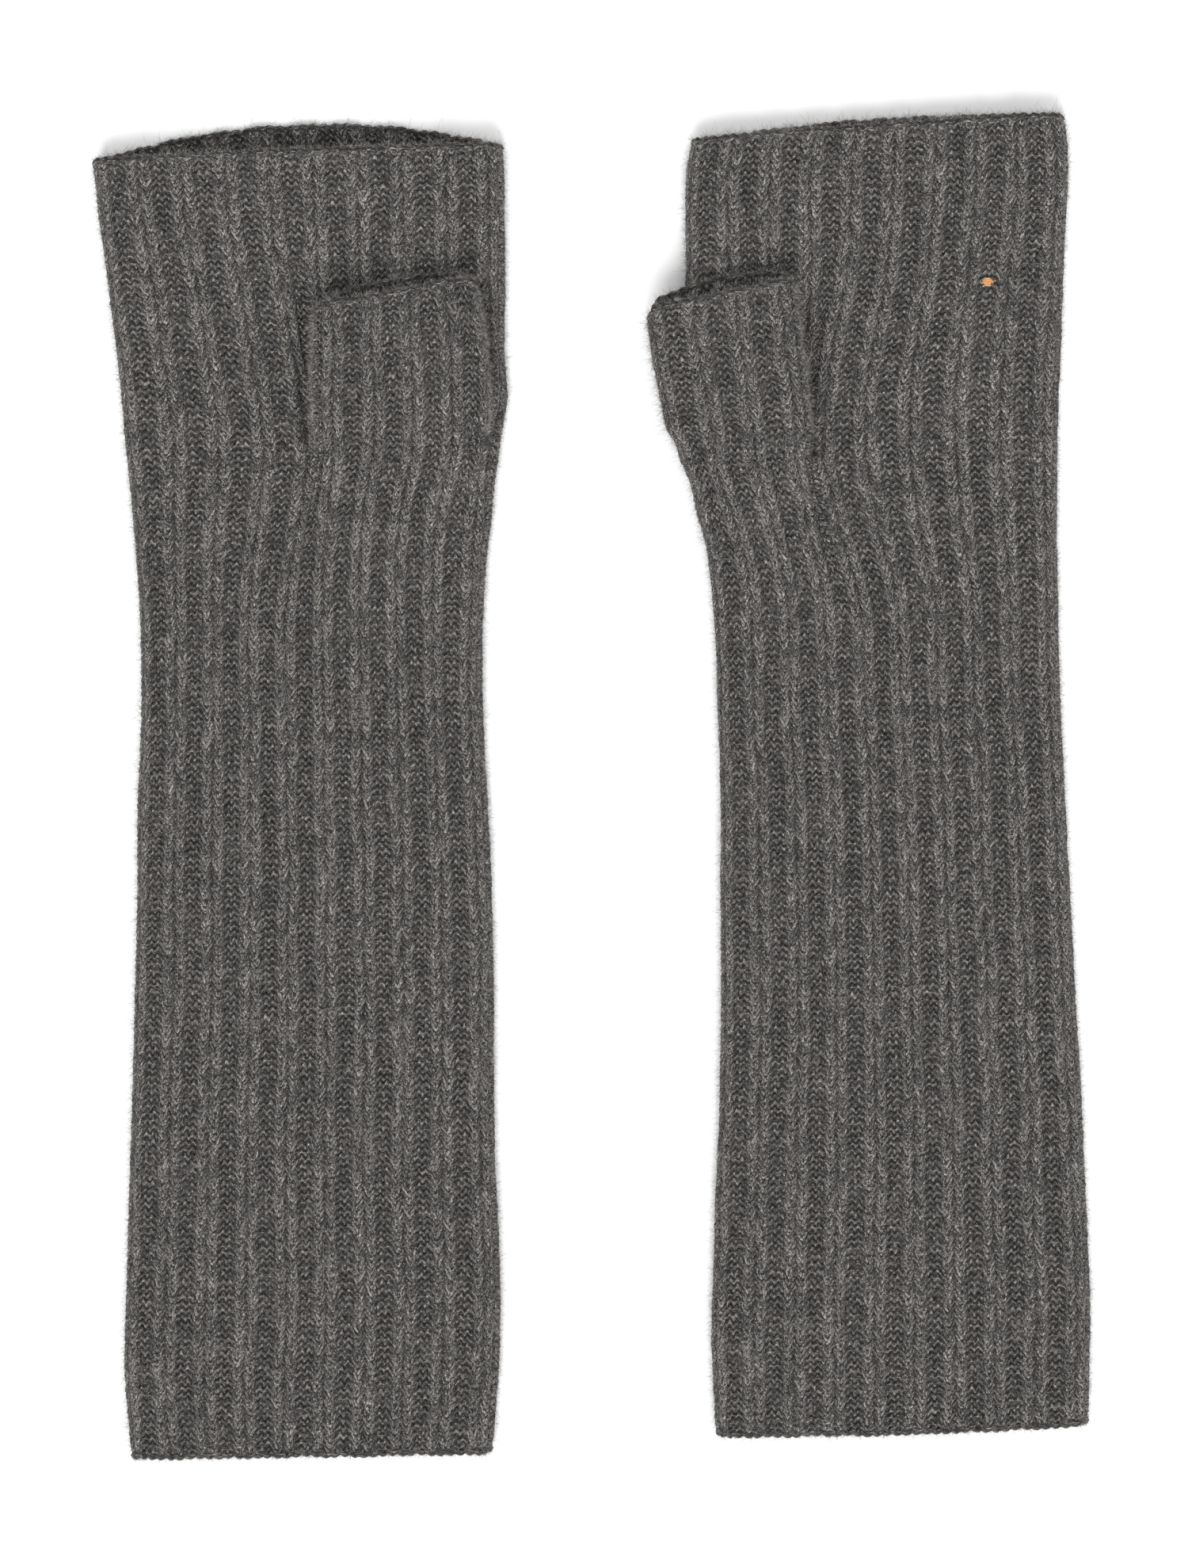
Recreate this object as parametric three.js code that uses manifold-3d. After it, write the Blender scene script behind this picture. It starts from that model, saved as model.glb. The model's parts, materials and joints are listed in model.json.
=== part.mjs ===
// A pair of long fingerless gloves in a two-by-two rib knit, lying flat side by side.
// Millimetres, +Z up, fingers towards +Y, resting on z = 0. Each glove is a flattened knitted
// tube in two lengths, forearm and hand, that bend at the wrist. A short thumb tube grows out
// of a raised gusset on the upper layer, and a firmer edge round finishes every opening.
import * as THREE from "three";
import { ParametricGeometry } from "three/addons/geometries/ParametricGeometry.js";
import { mergeVertices } from "three/addons/utils/BufferGeometryUtils.js";
import Module from "manifold-3d";

// Driving dimensions shared by both gloves.
const TUBE_HEIGHT = 9.4; // two layers of rib and the slack between them
const TUBE_WALL = 2.2;
const THUMB_HEIGHT = 8.6;
const THUMB_WALL = 2.0;
const GAP = 0.3; // clearance between neighbouring pieces
const EDGE_WIDTH = 1.8; // one chain of cast-on or bind-off stitches
const EDGE_INSET = 0.15; // the edge rounds draw in a little
const GUSSET_BURIED_INSET = 0.7; // the gusset starts this far inside the hand's outer face
const GUSSET_ROOT_HOLLOW = 2.0; // half height of the gusset's hollow where it starts
const GUSSET_FOOT_SINK = 0.2; // how far the gusset's mouth stands in the hand's upper layer
const TACK = { width: 3.6, length: 2.2, height: 0.9, round: 0.7 };

// Mesh density.
const FOLD_STEPS = 7; // round each folded edge
const LAYER_STEPS = 5; // across each flat layer
const FOREARM_RINGS = 9;
const HAND_RINGS = 10;
const THUMB_RINGS = 5;
const GUSSET_RINGS = 8;

const WRIST_KNOT = 4; // the outline's narrowest station, where the glove bends

// outline: distance from the arm end, then where the two folded edges lie.
// The skews are how much further an end reaches at its right edge than at its left,
// and a lip is how far the lower layer shows past the upper one in the middle.
const GLOVES = [
  {
    name: "left",
    position: [-72.4, -171.4],
    outline: [
      { along: 0, left: -45.9, right: 46.3 },
      { along: 26.5, left: -48.4, right: 48.8 },
      { along: 84, left: -46.6, right: 47.1 },
      { along: 148, left: -44.9, right: 46.6 },
      { along: 205, left: -43.9, right: 44.1 },
      { along: 238.5, left: -45.9, right: 46.1 },
      { along: 263.5, left: -48.1, right: 50.4 },
      { along: 298.5, left: -52.3, right: 50.4 },
      { along: 332.5, left: -55.8, right: 49.3 },
    ],
    armSkew: 1.4,
    fingerSkew: 4.1,
    fingerLip: 7.0,
    fingerHeight: 12.0,
    gusset: { along: 209.5, left: 14, right: 38 },
    thumb: {
      base: { along: 256, left: 0.0, right: 45.7 },
      end: { along: 296.8, left: 0.4, right: 42.2 },
      skew: 8.2,
      lip: 2.0,
    },
  },
  {
    name: "right",
    position: [76.1, -164.6],
    outline: [
      { along: 0, left: -43.6, right: 49.0 },
      { along: 24, left: -45.7, right: 52.0 },
      { along: 83, left: -43.9, right: 50.2 },
      { along: 146, left: -42.6, right: 46.9 },
      { along: 198.2, left: -44.4, right: 44.5 },
      { along: 229.7, left: -47.0, right: 43.8 },
      { along: 255.7, left: -51.4, right: 44.1 },
      { along: 297, left: -52.3, right: 45.6 },
      { along: 332.5, left: -50.4, right: 46.6 },
    ],
    armSkew: 3.1,
    fingerSkew: 6.9,
    fingerLip: 4.0,
    fingerHeight: 11.0,
    gusset: { along: 205.7, left: -44, right: -22 },
    thumb: {
      base: { along: 249.3, left: -55.3, right: -18.6 },
      end: { along: 290, left: -61.4, right: -23.7 },
      skew: 8.2,
      lip: 3.0,
    },
    tack: { x: 25.7, along: 294.1 },
  },
];

const lerp = THREE.MathUtils.lerp;
const smoothstep = THREE.MathUtils.smoothstep;

const wasm = await Module();
wasm.setup();

// ---- Materials -------------------------------------------------------------------------

function woolMaterial(color) {
  return new THREE.MeshStandardMaterial({ color, roughness: 0.95, metalness: 0 });
}

const ribMaterial = () => woolMaterial(0x5c5a59);
const edgeMaterial = () => woolMaterial(0x686665);

function threadMaterial() {
  return new THREE.MeshStandardMaterial({ color: 0xd69a5c, roughness: 0.7, metalness: 0 });
}

// ---- Rings and lofts -------------------------------------------------------------------

// The section of a flattened tube: two straight layers joined by half-round folds.
function foldedRing({ left, right, bottom, top }) {
  const radius = (top - bottom) / 2;
  const middle = (top + bottom) / 2;
  const points = [];
  const addFold = (x, startAngle) => {
    for (let i = 0; i <= FOLD_STEPS; i += 1) {
      const angle = startAngle + (Math.PI * i) / FOLD_STEPS;
      points.push(new THREE.Vector3(x + radius * Math.cos(angle), 0, middle + radius * Math.sin(angle)));
    }
  };
  const addLayer = (from, to, z) => {
    for (let i = 1; i < LAYER_STEPS; i += 1) {
      points.push(new THREE.Vector3(lerp(from, to, i / LAYER_STEPS), 0, z));
    }
  };
  addFold(right - radius, -Math.PI / 2);
  addLayer(right - radius, left + radius, top);
  addFold(left + radius, Math.PI / 2);
  addLayer(left + radius, right - radius, bottom);
  return points;
}

// A surface through a list of rings that all have the same number of points.
function loft(rings) {
  const around = rings[0].length;
  const along = rings.length - 1;
  const surface = (u, v, target) => {
    target.copy(rings[Math.round(v * along)][Math.round((1 - u) * around) % around]);
  };
  return new ParametricGeometry(surface, around, along);
}

// The wall between an outer and an inner skin, open at both ends.
function wallBetween(outerRings, innerRings) {
  return loft([...outerRings, ...innerRings.slice().reverse(), outerRings[0]]);
}

// A solid block with the rings' outline, closed at each end towards the ring's middle.
function blockThrough(rings) {
  const capAt = (ring) => {
    const middle = ring.reduce((sum, p) => sum.add(p), new THREE.Vector3()).divideScalar(ring.length);
    return ring.map(() => middle);
  };
  return loft([capAt(rings[0]), ...rings, capAt(rings[rings.length - 1])]);
}

function ringsAlong(count, from, to, ringAt) {
  return Array.from({ length: count }, (_, i) => ringAt(lerp(from, to, i / (count - 1))));
}

// ---- Joining and cutting ---------------------------------------------------------------

function solidFrom(geometry) {
  const bare = geometry.clone();
  bare.deleteAttribute("normal");
  bare.deleteAttribute("uv");
  const merged = mergeVertices(bare, 1e-4);
  const corners = merged.index.array;
  const triangles = [];
  for (let i = 0; i < corners.length; i += 3) {
    const [a, b, c] = corners.slice(i, i + 3);
    if (a !== b && b !== c && c !== a) {
      triangles.push(a, b, c);
    }
  }
  return new wasm.Manifold(
    new wasm.Mesh({
      numProp: 3,
      vertProperties: merged.attributes.position.array,
      triVerts: new Uint32Array(triangles),
    }),
  );
}

function geometryFrom(solid) {
  const { vertProperties, triVerts } = solid.getMesh();
  const geometry = new THREE.BufferGeometry();
  geometry.setAttribute("position", new THREE.BufferAttribute(vertProperties, 3));
  geometry.setIndex(new THREE.BufferAttribute(triVerts, 1));
  geometry.computeVertexNormals();
  return geometry;
}

function namedMesh(name, geometry, material) {
  const mesh = new THREE.Mesh(geometry, material);
  mesh.name = name;
  return mesh;
}

// ---- The hand and forearm tube ---------------------------------------------------------

// The tube's section at t, from 0 at the arm end to 1 at the fingers. The two edges share
// their stations, so both splines give the same distance along at one t.
function tubeSection(glove, t) {
  const edge = (side) => {
    const points = glove.outline.map((station) => new THREE.Vector2(station.along, station[side]));
    return new THREE.SplineCurve(points).getPoint(t);
  };
  const left = edge("left");
  const length = glove.outline[glove.outline.length - 1].along;
  const opening = smoothstep(left.x, glove.thumb.end.along, length);
  return {
    along: left.x,
    left: left.y,
    right: edge("right").y,
    bottom: 0,
    top: lerp(TUBE_HEIGHT, glove.fingerHeight, opening),
  };
}

function wristOf(glove) {
  return WRIST_KNOT / (glove.outline.length - 1);
}

// How far a point near an end is carried along by the end's skew and by its longer lower layer.
function endShift(section, point, skew, lip) {
  const width = section.right - section.left;
  const across = (2 * point.x - section.left - section.right) / width;
  const lowness = (section.top - point.z) / (section.top - section.bottom);
  return (skew * across) / 2 + lip * lowness * (1 - across * across);
}

function insetSection(section, inset) {
  return {
    ...section,
    left: section.left + inset,
    right: section.right - inset,
    bottom: section.bottom + inset,
    top: section.top - inset,
  };
}

function tubeRing(glove, t, inset, nudge = 0) {
  const section = tubeSection(glove, t);
  const wrist = wristOf(glove);
  const towardsFingers = Math.max(0, (t - wrist) / (1 - wrist)) ** 2;
  const towardsArm = Math.max(0, (wrist - t) / wrist) ** 2;
  const skew = glove.fingerSkew * towardsFingers + glove.armSkew * towardsArm;
  const ring = foldedRing(insetSection(section, inset));
  ring.forEach((point) => {
    point.y = section.along + nudge + endShift(section, point, skew, glove.fingerLip * towardsFingers);
  });
  return ring;
}

// A length of the tube between two values of t, drawn in by a nudge at each end.
function tubeLength(glove, count, from, to, nudgeFrom, nudgeTo) {
  const skin = (inset) =>
    ringsAlong(count, 0, 1, (s) => tubeRing(glove, lerp(from, to, s), inset, lerp(nudgeFrom, nudgeTo, s)));
  return wallBetween(skin(0), skin(TUBE_WALL));
}

function forearmTube(glove) {
  return tubeLength(glove, FOREARM_RINGS, 0, wristOf(glove), 0, -GAP / 2);
}

// An edge round just past one end of the tube.
function tubeEdge(glove, t, start) {
  const skin = (inset) => [tubeRing(glove, t, inset, start), tubeRing(glove, t, inset, start + EDGE_WIDTH)];
  return wallBetween(skin(EDGE_INSET), skin(TUBE_WALL - EDGE_INSET));
}

// ---- The gusset and the thumb ----------------------------------------------------------

// The thumb lies on the hand's upper layer, s = 0 at the gusset's mouth and 1 at its open end.
function thumbSection(glove, s) {
  const { base, end } = glove.thumb;
  const bottom = TUBE_HEIGHT + GAP;
  return {
    along: lerp(base.along, end.along, s),
    left: lerp(base.left, end.left, s),
    right: lerp(base.right, end.right, s),
    bottom,
    top: bottom + THUMB_HEIGHT,
  };
}

function thumbRing(glove, s, inset, nudge = 0) {
  const section = thumbSection(glove, s);
  const nearEnd = s ** 2;
  const ring = foldedRing(insetSection(section, inset));
  ring.forEach((point) => {
    const shift = endShift(section, point, glove.thumb.skew * nearEnd, glove.thumb.lip * nearEnd);
    point.y = section.along + nudge + shift;
  });
  return ring;
}

function thumbTube(glove) {
  const skin = (inset) =>
    ringsAlong(THUMB_RINGS, 0, 1, (s) => thumbRing(glove, s, inset, lerp(GAP, 0, s)));
  return wallBetween(skin(0), skin(THUMB_WALL));
}

function thumbEdge(glove) {
  const skin = (inset) => [thumbRing(glove, 1, inset, GAP), thumbRing(glove, 1, inset, GAP + EDGE_WIDTH)];
  return wallBetween(skin(EDGE_INSET), skin(THUMB_WALL - EDGE_INSET));
}

// The gusset climbs out of the hand's tube, s = 0 where it starts and 1 at its mouth.
function gussetRing(glove, s, hollow) {
  const { gusset, thumb } = glove;
  const climb = smoothstep(s, 0, 1);
  const wall = hollow ? THUMB_WALL : 0;
  const rootHalf = hollow ? GUSSET_ROOT_HOLLOW : TUBE_HEIGHT / 2 - GUSSET_BURIED_INSET;
  const mouthBottom = TUBE_HEIGHT + (hollow ? GAP + THUMB_WALL : -GUSSET_FOOT_SINK);
  const mouthTop = TUBE_HEIGHT + GAP + THUMB_HEIGHT - wall;
  const section = {
    left: lerp(gusset.left, thumb.base.left, s) + wall,
    right: lerp(gusset.right, thumb.base.right, s) - wall,
    bottom: lerp(TUBE_HEIGHT / 2 - rootHalf, mouthBottom, climb),
    top: lerp(TUBE_HEIGHT / 2 + rootHalf, mouthTop, climb),
  };
  const ring = foldedRing(section);
  ring.forEach((point) => {
    point.y = lerp(gusset.along, thumb.base.along, s);
  });
  return ring;
}

// The hollow runs on past the mouth, so that the mouth is cut open.
function pushedOut(ring, distance) {
  return ring.map((point) => new THREE.Vector3(point.x, point.y + distance, point.z));
}

// The hand's tube with the gusset joined on: its hollow opens into the hand's own.
function handTube(glove) {
  const from = wristOf(glove);
  const handHollow = ringsAlong(HAND_RINGS, from, 1, (t) => tubeRing(glove, t, TUBE_WALL, 0));
  const gussetOuter = ringsAlong(GUSSET_RINGS, 0, 1, (s) => gussetRing(glove, s, false));
  const gussetInner = ringsAlong(GUSSET_RINGS, 0, 1, (s) => gussetRing(glove, s, true));
  gussetInner.push(pushedOut(gussetInner[gussetInner.length - 1], 1));
  const hollow = solidFrom(blockThrough(gussetInner));
  const hand = solidFrom(tubeLength(glove, HAND_RINGS, from, 1, GAP / 2, 0)).subtract(hollow);
  const gusset = solidFrom(blockThrough(gussetOuter))
    .subtract(hollow)
    .subtract(solidFrom(blockThrough(handHollow)));
  return geometryFrom(hand.add(gusset));
}

// ---- The contrast tack -----------------------------------------------------------------

// A tiny bar of contrast stitches sewn on the back of the hand.
function tackGeometry() {
  const { width, length, height, round } = TACK;
  const x = width / 2 - round;
  const y = length / 2 - round;
  const outline = new THREE.Shape();
  outline.absarc(x, y, round, 0, Math.PI / 2);
  outline.absarc(-x, y, round, Math.PI / 2, Math.PI);
  outline.absarc(-x, -y, round, Math.PI, 1.5 * Math.PI);
  outline.absarc(x, -y, round, 1.5 * Math.PI, 2 * Math.PI);
  return new THREE.ExtrudeGeometry(outline, { depth: height, bevelEnabled: false, curveSegments: 4 });
}

function contrastTack(glove) {
  const mesh = namedMesh(glove.name + "_contrast_tack", tackGeometry(), threadMaterial());
  mesh.position.set(glove.tack.x, glove.tack.along, TUBE_HEIGHT + GAP);
  return mesh;
}

// ---- Assembly --------------------------------------------------------------------------

function buildGlove(glove) {
  const group = new THREE.Group();
  const add = (piece, geometry, material) => group.add(namedMesh(glove.name + "_" + piece, geometry, material));
  add("forearm_tube", forearmTube(glove), ribMaterial());
  add("cast_on_edge", tubeEdge(glove, 0, -GAP - EDGE_WIDTH), edgeMaterial());
  add("hand_tube", handTube(glove), ribMaterial());
  add("finger_bind_off", tubeEdge(glove, 1, GAP), edgeMaterial());
  add("thumb_tube", thumbTube(glove), ribMaterial());
  add("thumb_bind_off", thumbEdge(glove), edgeMaterial());
  if (glove.tack) {
    group.add(contrastTack(glove));
  }
  group.position.set(glove.position[0], glove.position[1], 0);
  return group;
}

const pair = new THREE.Group();
GLOVES.forEach((glove) => pair.add(buildGlove(glove)));

// The origin is under the middle of the pair's box.
const box = new THREE.Box3().setFromObject(pair);
const middle = box.getCenter(new THREE.Vector3());
pair.position.set(-middle.x, -middle.y, -box.min.z);

const glovePair = new THREE.Group();
glovePair.add(pair);

export default glovePair;
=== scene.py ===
"""A pair of long fingerless gloves in brushed two-by-two rib, lying flat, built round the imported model.

Metres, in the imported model's frame. Every knitted skin is a grid that follows the stitches:
its columns run along the wales and its rows along the courses, and its form is measured on
the CAD solids that it stands for.
"""

import json
import math

import bpy
import numpy as np
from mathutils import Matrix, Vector
from mathutils.bvhtree import BVHTree


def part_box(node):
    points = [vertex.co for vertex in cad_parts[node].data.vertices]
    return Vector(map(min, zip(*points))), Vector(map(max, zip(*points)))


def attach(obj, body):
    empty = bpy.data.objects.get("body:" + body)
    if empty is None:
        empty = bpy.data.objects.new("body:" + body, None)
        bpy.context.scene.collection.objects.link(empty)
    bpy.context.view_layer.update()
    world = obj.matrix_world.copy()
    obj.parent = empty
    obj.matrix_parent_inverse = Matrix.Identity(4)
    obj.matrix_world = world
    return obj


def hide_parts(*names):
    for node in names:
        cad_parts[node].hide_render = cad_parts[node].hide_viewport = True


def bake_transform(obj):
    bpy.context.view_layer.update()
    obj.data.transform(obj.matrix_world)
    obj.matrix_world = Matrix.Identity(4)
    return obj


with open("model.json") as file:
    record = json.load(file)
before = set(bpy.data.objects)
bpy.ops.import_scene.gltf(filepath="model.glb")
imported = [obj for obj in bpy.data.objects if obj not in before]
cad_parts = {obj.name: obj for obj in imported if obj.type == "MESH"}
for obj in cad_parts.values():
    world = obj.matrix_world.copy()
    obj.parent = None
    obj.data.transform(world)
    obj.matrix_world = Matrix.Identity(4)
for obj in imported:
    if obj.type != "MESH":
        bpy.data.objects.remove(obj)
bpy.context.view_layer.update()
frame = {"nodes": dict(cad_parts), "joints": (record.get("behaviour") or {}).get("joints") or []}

MM = 0.001

# The knitting.
WALES = 80  # stitches round one glove
RIB = 4  # two knit wales, then two purl wales
COURSE = 1.84 * MM  # one row of stitches
KNIT_WALE = 3.27 * MM  # one column of knit stitches
PURL_WALE = 1.73 * MM  # one column of purl stitches, drawn together between two ribs
COLUMNS_PER_WALE = 8  # on average
ROWS_PER_COURSE = 5
YARN_RADIUS = 0.5 * MM
KNIT_RADIUS = 0.46 * MM
PURL_RADIUS = 0.52 * MM
RIB_DEPTH = 0.8 * MM  # how far the knit ribs stand proud of the purl ones
SKIN_DEPTH = 1.3 * MM  # from the CAD surface to the middle of the fabric
LEG_FOOT = 0.03  # where a knit stitch's leg starts beside the wale's middle, in wales
LEG_LEAN = 0.28  # how far the leg leans out over one course, in wales
LEG_ANGLE = math.atan(LEG_LEAN * KNIT_WALE / COURSE)
PURL_WAVE = 0.24  # rise and fall of a purl course, in courses
PURL_BEAD = 0.55  # how far the loops' heads and feet stand out of a purl course, in yarn radii
PURL_SINK = 0.2  # how deep the course lies between them
CREASE_AGREEMENT = 0.82  # below this, neighbouring normals differ so much that the fabric is creased
GAP_DEPTH = 0.8  # depth of the gaps between strands, in yarn radii
EDGE_TAPER = 1.7  # courses over which the ribs flatten towards an edge

# The shape that the CAD solids don't state.
GUSSET_LENGTH = 46 * MM
END_MARGIN = 1.5 * MM  # kept between a skewed end and the first place that is measured
END_STRETCH = 15 * MM
GUSSET_SPREAD = 22 * MM  # length over which the gusset's folded edge swings out
GUSSET_SOFTEN = 16 * MM  # length over which the thumb's full section turns into a soft rise
CROTCH_RELAX = 16 * MM  # length over which the hand's fold takes its own shape again past the thumb
PALM_RELAX = 60 * MM  # the same on the palm, beside the thumb
FOLD_TAIL = 7  # wales that the thumb's slit pulls along round the fold
PALM_TAIL = 24  # and on the palm
THUMB_SETTLE = 10 * MM  # length over which the thumb takes its own section
CHAIN_RADIUS = 0.5 * MM
CHAIN_REACH = 1.1 * MM  # how far the edge chain stands past the last course
FINE_INNER_COURSES = 10  # depth of full detail inside an opening

FUZZ_AT_FOLDS = 0.5  # share of a tube's stray fibres that stand at its folded sides
THUMB_WALES = {"left": 20, "right": 16}  # on the front of each thumb
RANDOM_SEED = 7


# How far each glove's knit lies outside its CAD solids: along Y, then at its left and right folds.
SWELL = {
    "left": [
        (-174, 0.6, 0.3), (-156, 1.2, 0.5), (-132, 0.3, 0.6), (-100, 0.6, 0.2), (-48, 0.6, 0.6), (0, 0.8, -0.1),
        (48, 0.7, 0.1), (62, 1.3, -0.1), (74, 1.8, 0.6), (80, 1.9, 1.8), (86, 2.0, 3.0), (92, 1.8, 2.2),
        (98, 1.4, 0.8), (110, 1.1, -0.6), (132, 0.6, -0.2),
        (156, 1.4, 0.6), (164, 1.9, 0.6), (170, 2.4, 0.3), (175, 2.2, -0.9),
    ],
    "right": [
        (-174, 0.6, 3.2), (-156, 0.7, 2.5), (-144, 0.8, 1.5), (-120, 0.0, 0.8), (-60, 0.3, 0.5), (-12, 0.8, 0.5),
        (24, 0.6, 0.5), (48, -0.3, 0.7), (60, 0.2, 0.7), (72, -1.0, 0.7), (84, -0.5, 0.4), (98, 0.5, 0.4),
        (120, 0.7, 0.9), (132, 0.1, 0.7), (144, 0.7, 0.8), (156, 1.6, 1.4), (160, 1.4, 1.3),
        (164, 0.9, 1.1), (168, 0.1, 0.8), (176, -1.5, -1.2),
    ],
}
# The upper and the lower layer's reach past the CAD edge at the fingers, then at the thumb.
MOUTH = {"left": (0.0, 1.9, -1.0, 1.2), "right": (0.0, -0.7, -1.6, 0.9)}
CAST_ON_BOW = {"left": (0.0, 0.0), "right": (1.0, 1.4)}  # the same at the arm end
# How far each thumb's knit lies outside its CAD solid: along Y, then at its left and right folds.
THUMB_SWELL = {
    "left": [(84, 0.1, 0.9), (92, 0.2, 1.6), (106, 0.3, 2.3), (118, 0.2, 1.7), (130, 0.1, 0.6)],
    "right": [(82, 1.6, 0.1), (92, 1.7, 0.2), (100, 2.0, 0.3), (110, 2.2, 0.3), (118, 1.9, 0.2), (130, 1.0, 0.1)],
}
THUMB_CORNERS = {"left": (1.6, 2.0), "right": (3.6, 2.2)}  # how far its corners are rounded off
# The line that the right gusset's folded edge keeps to: along Y, then along X.
GUSSET_FOLD = [
    (48, 18), (58, 24), (62, 26.8), (65, 27.0), (68, 26.6), (71, 25.7), (74, 24.8), (77, 24.0), (80, 22.6),
    (82, 21.9), (84, 21.2), (90, 20.0),
]


# ---- Measuring the CAD solids ------------------------------------------------------------

def tree_of(*nodes):
    """A search tree over the CAD nodes' faces."""
    corners, faces = [], []
    for name in nodes:
        mesh = frame["nodes"][name].data
        start = len(corners)
        corners += [vertex.co.copy() for vertex in mesh.vertices]
        faces += [[start + i for i in polygon.vertices] for polygon in mesh.polygons]
    return BVHTree.FromPolygons(corners, faces)


def hit(tree, origin, direction):
    return tree.ray_cast(Vector(origin), Vector(direction))[0]


def smoothed(values, reach):
    """A running mean that keeps the ends."""
    padded = np.concatenate([np.full(reach, values[0]), values, np.full(reach, values[-1])])
    return np.convolve(padded, np.ones(2 * reach + 1) / (2 * reach + 1), mode="valid")


def eased_table(table, column, y):
    """A table's column at y, without corners at its stations."""
    stations = np.array(table) * MM
    fine = np.arange(stations[0, 0] - 10 * MM, stations[-1, 0] + 10 * MM, MM)
    return np.interp(y, fine, smoothed(np.interp(fine, stations[:, 0], stations[:, column]), 5))


def measure_outline(nodes, low, high, level, probe_side, count=120):
    """Where a tube's folded edges and its upper layer lie, at stations along Y."""
    tree = tree_of(*nodes)
    stations = []
    for y in np.linspace(low, high, count):
        left = hit(tree, (-1, y, level), (1, 0, 0))
        right = hit(tree, (1, y, level), (-1, 0, 0))
        if left is None or right is None:
            continue
        probe = (left.x + right.x) / 2 + probe_side * (right.x - left.x) / 4
        top = hit(tree, (probe, y, 1), (0, 0, -1))
        stations.append((y, left.x, right.x, top.z))
    y, *lines = np.array(stations).T
    reach = max(2, count // 24)
    outline = {"y": np.concatenate([[y[0] - END_STRETCH], y, [y[-1] + END_STRETCH]])}
    for key, line in zip(("left", "right", "top"), lines):
        line = smoothed(line, reach)
        before = line[0] - (line[reach] - line[0]) / (y[reach] - y[0]) * END_STRETCH
        after = line[-1] + (line[-1] - line[-1 - reach]) / (y[-1] - y[-1 - reach]) * END_STRETCH
        outline[key] = np.concatenate([[before], line, [after]])
    return outline


def outline_at(outline, y):
    return [np.interp(y, outline["y"], outline[key]) for key in ("left", "right", "top")]


def end_line(node, x, z, towards):
    """How far along Y an edge node reaches at each point of a section."""
    tree = tree_of(node)
    low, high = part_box(node)
    far = high.y if towards > 0 else low.y
    reach = np.full(len(x), np.nan)
    for i, (px, pz) in enumerate(zip(x, z)):
        found = hit(tree, (px, far + towards * 0.01, pz), (0, -towards, 0))
        if found is not None:
            reach[i] = found.y
    known = np.flatnonzero(~np.isnan(reach))
    return smoothed(np.interp(np.arange(len(x)), known, reach[known]), 3)


def mouth_shift(x, z, left, right, middle, upper, lower):
    """How far the two layers of an open end reach past the measured edge, which they don't at its folds."""
    bow = np.sin(math.pi * np.clip((x - left) / (right - left), 0, 1)) ** 0.8
    return bow * np.where(z > middle, upper, lower) * MM


# ---- Forms -------------------------------------------------------------------------------

def flattened_section(q, left, right, bottom, top):
    """A point at share q of the way round a flattened tube, and its height, from the left fold over the top."""
    radius = (top - bottom) / 2
    flat = right - left - 2 * radius
    quarter = math.pi * radius / 2
    s = (q % 1) * (2 * flat + 4 * quarter)
    marks = quarter, quarter + flat, 3 * quarter + flat, 3 * quarter + 2 * flat
    middle = (top + bottom) / 2
    rising = math.pi - s / radius
    falling = math.pi / 2 - (s - marks[1]) / radius
    closing = -math.pi / 2 - (s - marks[3]) / radius
    angle = np.where(s < marks[0], rising, np.where(s < marks[2], falling, closing))
    fold_x = np.where(s < marks[0], left + radius, np.where(s < marks[2], right - radius, left + radius))
    x = fold_x + radius * np.cos(angle)
    z = middle + radius * np.sin(angle)
    on_top = (s >= marks[0]) & (s < marks[1])
    on_bottom = (s >= marks[2]) & (s < marks[3])
    x = np.where(on_top, left + radius + s - marks[0], np.where(on_bottom, right - radius - (s - marks[2]), x))
    z = np.where(on_top, top, np.where(on_bottom, bottom, z))
    return x, z


def grid_normals(points):
    """Unit normals of a grid that closes on itself from the last column to the first."""
    across = np.roll(points, -1, axis=1) - np.roll(points, 1, axis=1)
    along = np.gradient(points, axis=0)
    normals = np.cross(across, along)
    return normals / np.maximum(np.linalg.norm(normals, axis=2, keepdims=True), 1e-12)


def smoothstep(t):
    t = np.clip(t, 0, 1)
    return t * t * (3 - 2 * t)


def settled_normals(points, reach=4):
    """Normals that turn softly where the grid is creased, and how creased it is at each point."""
    normals = grid_normals(points)
    padded = np.pad(normals, ((reach, reach), (0, 0), (0, 0)), mode="edge")
    steps = range(-reach, reach + 1)
    mean = sum(padded[reach + row:reach + row + len(normals)] for row in steps) / len(steps)
    mean = sum(np.roll(mean, column, axis=1) for column in steps) / len(steps)
    agreement = np.linalg.norm(mean, axis=2, keepdims=True)
    crease = 1 - smoothstep((agreement - CREASE_AGREEMENT) / 0.12)
    mixed = normals + crease * (mean / np.maximum(agreement, 1e-12) - normals)
    return mixed / np.maximum(np.linalg.norm(mixed, axis=2, keepdims=True), 1e-12), crease[:, :, 0]


class SmoothNoise:
    """Random values on a lattice that closes on itself across, eased between the lattice points."""

    def __init__(self, rng, across, along):
        self.values = rng.uniform(-1, 1, (along + 2, across))

    def at(self, s, t):
        """s is the share of the way across, and t the share of the way along."""
        along, across = self.values.shape[0] - 2, self.values.shape[1]
        x, y = (s % 1) * across, np.clip(t, 0, 1) * along
        i, j = y.astype(int), x.astype(int) % across
        fx, fy = smoothstep(x - np.floor(x)), smoothstep(y - i)
        near = self.values[i, j] * (1 - fx) + self.values[i, (j + 1) % across] * fx
        far = self.values[i + 1, j] * (1 - fx) + self.values[i + 1, (j + 1) % across] * fx
        return near * (1 - fy) + far * fy


# ---- Stitches ----------------------------------------------------------------------------

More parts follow.
